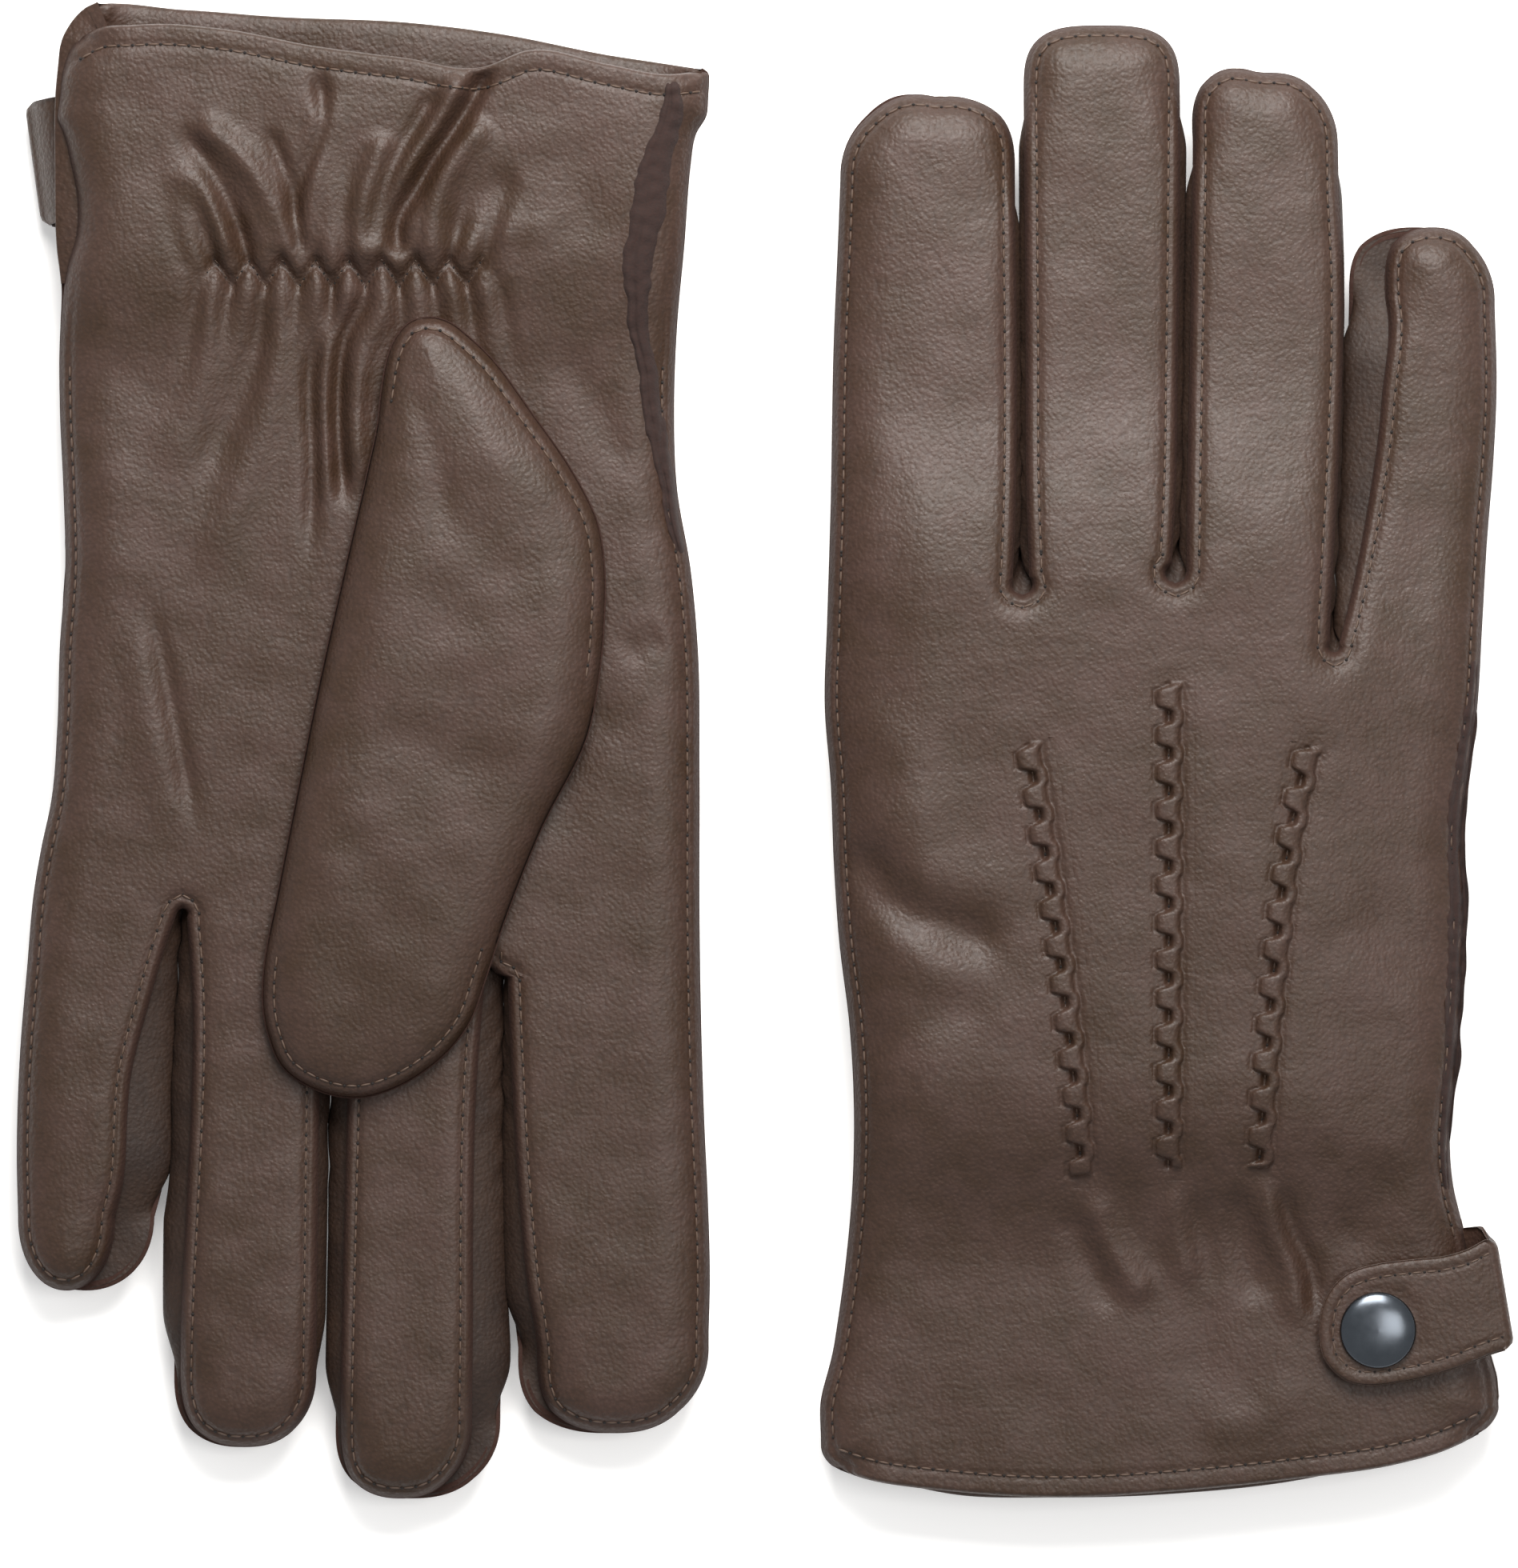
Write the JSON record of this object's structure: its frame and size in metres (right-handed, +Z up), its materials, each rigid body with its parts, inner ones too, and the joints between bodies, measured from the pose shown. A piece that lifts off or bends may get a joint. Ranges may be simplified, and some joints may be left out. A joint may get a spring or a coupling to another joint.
{
  "type": "pair of leather gloves",
  "caption": "Pair of lined leather dress gloves lying flat, one palm down and one palm up, each with a folded thumb, gathered wrist and snap-closed cuff strap.",
  "frame": {"origin": "centre of the pair's footprint on the surface that it lies on", "axes": "+Z up; +Y towards the fingertips of the right glove, which lies palm down; +X towards the right glove"},
  "size_m": [0.2474, 0.2468, 0.0219],
  "materials": {
    "leather": "brown glazed hair-sheep with a soft sheen",
    "leather_edge": "dark brown leather with raw suede edges",
    "lining": "knitted wool lining",
    "elastic": "woven elastic tape",
    "snap_gunmetal": "polished gunmetal",
    "snap_nickel": "nickel-plated brass"
  },
  "bodies": {
    "left_hand": {"left_back_panel": "leather", "left_palm_panel": "leather", "left_crotch_gussets": "leather_edge", "left_hand_lining": "lining", "left_snap_stud": "snap_nickel", "left_snap_post": "snap_nickel", "left_strap_root": "leather", "left_wrist_elastic": "elastic", "left_point_stitching": "leather"},
    "left_thumb": {"left_thumb_leather": "leather", "left_thumb_lining": "lining"},
    "left_strap": {"left_strap_tab": "leather", "left_snap_cap": "snap_gunmetal", "left_snap_socket": "snap_nickel"},
    "left_index": {"left_index_back": "leather", "left_index_palm": "leather", "left_index_fourchette": "leather_edge", "left_index_lining": "lining"},
    "left_middle": {"left_middle_back": "leather", "left_middle_palm": "leather", "left_middle_fourchette": "leather_edge", "left_middle_lining": "lining"},
    "left_ring": {"left_ring_back": "leather", "left_ring_palm": "leather", "left_ring_fourchette": "leather_edge", "left_ring_lining": "lining"},
    "left_little": {"left_little_back": "leather", "left_little_palm": "leather", "left_little_fourchette": "leather_edge", "left_little_lining": "lining"},
    "right_hand": {"right_back_panel": "leather", "right_palm_panel": "leather", "right_crotch_gussets": "leather_edge", "right_hand_lining": "lining", "right_snap_stud": "snap_nickel", "right_snap_post": "snap_nickel", "right_strap_root": "leather", "right_wrist_elastic": "elastic", "right_point_stitching": "leather"},
    "right_thumb": {"right_thumb_leather": "leather", "right_thumb_lining": "lining"},
    "right_strap": {"right_strap_tab": "leather", "right_snap_cap": "snap_gunmetal", "right_snap_socket": "snap_nickel"},
    "right_index": {"right_index_back": "leather", "right_index_palm": "leather", "right_index_fourchette": "leather_edge", "right_index_lining": "lining"},
    "right_middle": {"right_middle_back": "leather", "right_middle_palm": "leather", "right_middle_fourchette": "leather_edge", "right_middle_lining": "lining"},
    "right_ring": {"right_ring_back": "leather", "right_ring_palm": "leather", "right_ring_fourchette": "leather_edge", "right_ring_lining": "lining"},
    "right_little": {"right_little_back": "leather", "right_little_palm": "leather", "right_little_fourchette": "leather_edge", "right_little_lining": "lining"}
  },
  "joints": [
    {"name": "left_index_curl", "type": "hinge", "parent": "left_hand", "child": "left_index", "pos_m": [-0.02545, -0.0565, 0.0136], "axis": [-1, 0, 0], "range_deg": [0, 80]},
    {"name": "left_middle_curl", "type": "hinge", "parent": "left_hand", "child": "left_middle", "pos_m": [-0.056, -0.0576, 0.0136], "axis": [-1, 0, 0], "range_deg": [0, 80]},
    {"name": "left_ring_curl", "type": "hinge", "parent": "left_hand", "child": "left_ring", "pos_m": [-0.0832, -0.057, 0.0136], "axis": [-1, 0, 0], "range_deg": [0, 80]},
    {"name": "left_little_curl", "type": "hinge", "parent": "left_hand", "child": "left_little", "pos_m": [-0.1081, -0.0396, 0.0136], "axis": [-1, 0, 0], "range_deg": [0, 80]},
    {"name": "left_thumb_fold", "type": "hinge", "parent": "left_hand", "child": "left_thumb", "pos_m": [-0.0289, 0.0504, 0.01375], "axis": [-0.3419, 0.9397, 0], "range_deg": [0, 90]},
    {"name": "left_strap_open", "type": "hinge", "parent": "left_hand", "child": "left_strap", "pos_m": [-0.12035, 0.0952, 0.0018], "axis": [0, 1, 0], "range_deg": [0, 150]},
    {"name": "right_index_curl", "type": "hinge", "parent": "right_hand", "child": "right_index", "pos_m": [0.0254, 0.0565, 0.00384], "axis": [-1, 0, 0], "range_deg": [0, 80]},
    {"name": "right_middle_curl", "type": "hinge", "parent": "right_hand", "child": "right_middle", "pos_m": [0.05605, 0.0576, 0.00361], "axis": [-1, 0, 0], "range_deg": [0, 80]},
    {"name": "right_ring_curl", "type": "hinge", "parent": "right_hand", "child": "right_ring", "pos_m": [0.0832, 0.057, 0.00373], "axis": [-1, 0, 0], "range_deg": [0, 80]},
    {"name": "right_little_curl", "type": "hinge", "parent": "right_hand", "child": "right_little", "pos_m": [0.1077, 0.0396, 0.00385], "axis": [-1, 0, 0], "range_deg": [0, 80]},
    {"name": "right_thumb_fold", "type": "hinge", "parent": "right_hand", "child": "right_thumb", "pos_m": [0.0289, -0.0504, 0.00815], "axis": [-0.3419, 0.9397, 0], "range_deg": [0, 90]},
    {"name": "right_strap_open", "type": "hinge", "parent": "right_hand", "child": "right_strap", "pos_m": [0.12035, -0.0952, 0.016], "axis": [0, 1, 0], "range_deg": [0, 150]},
    {"name": "right_glove_lift", "type": "slide", "parent": "left_hand", "child": "right_hand", "axis": [0, 0, 1], "range_m": [0, 0.3]}
  ]
}
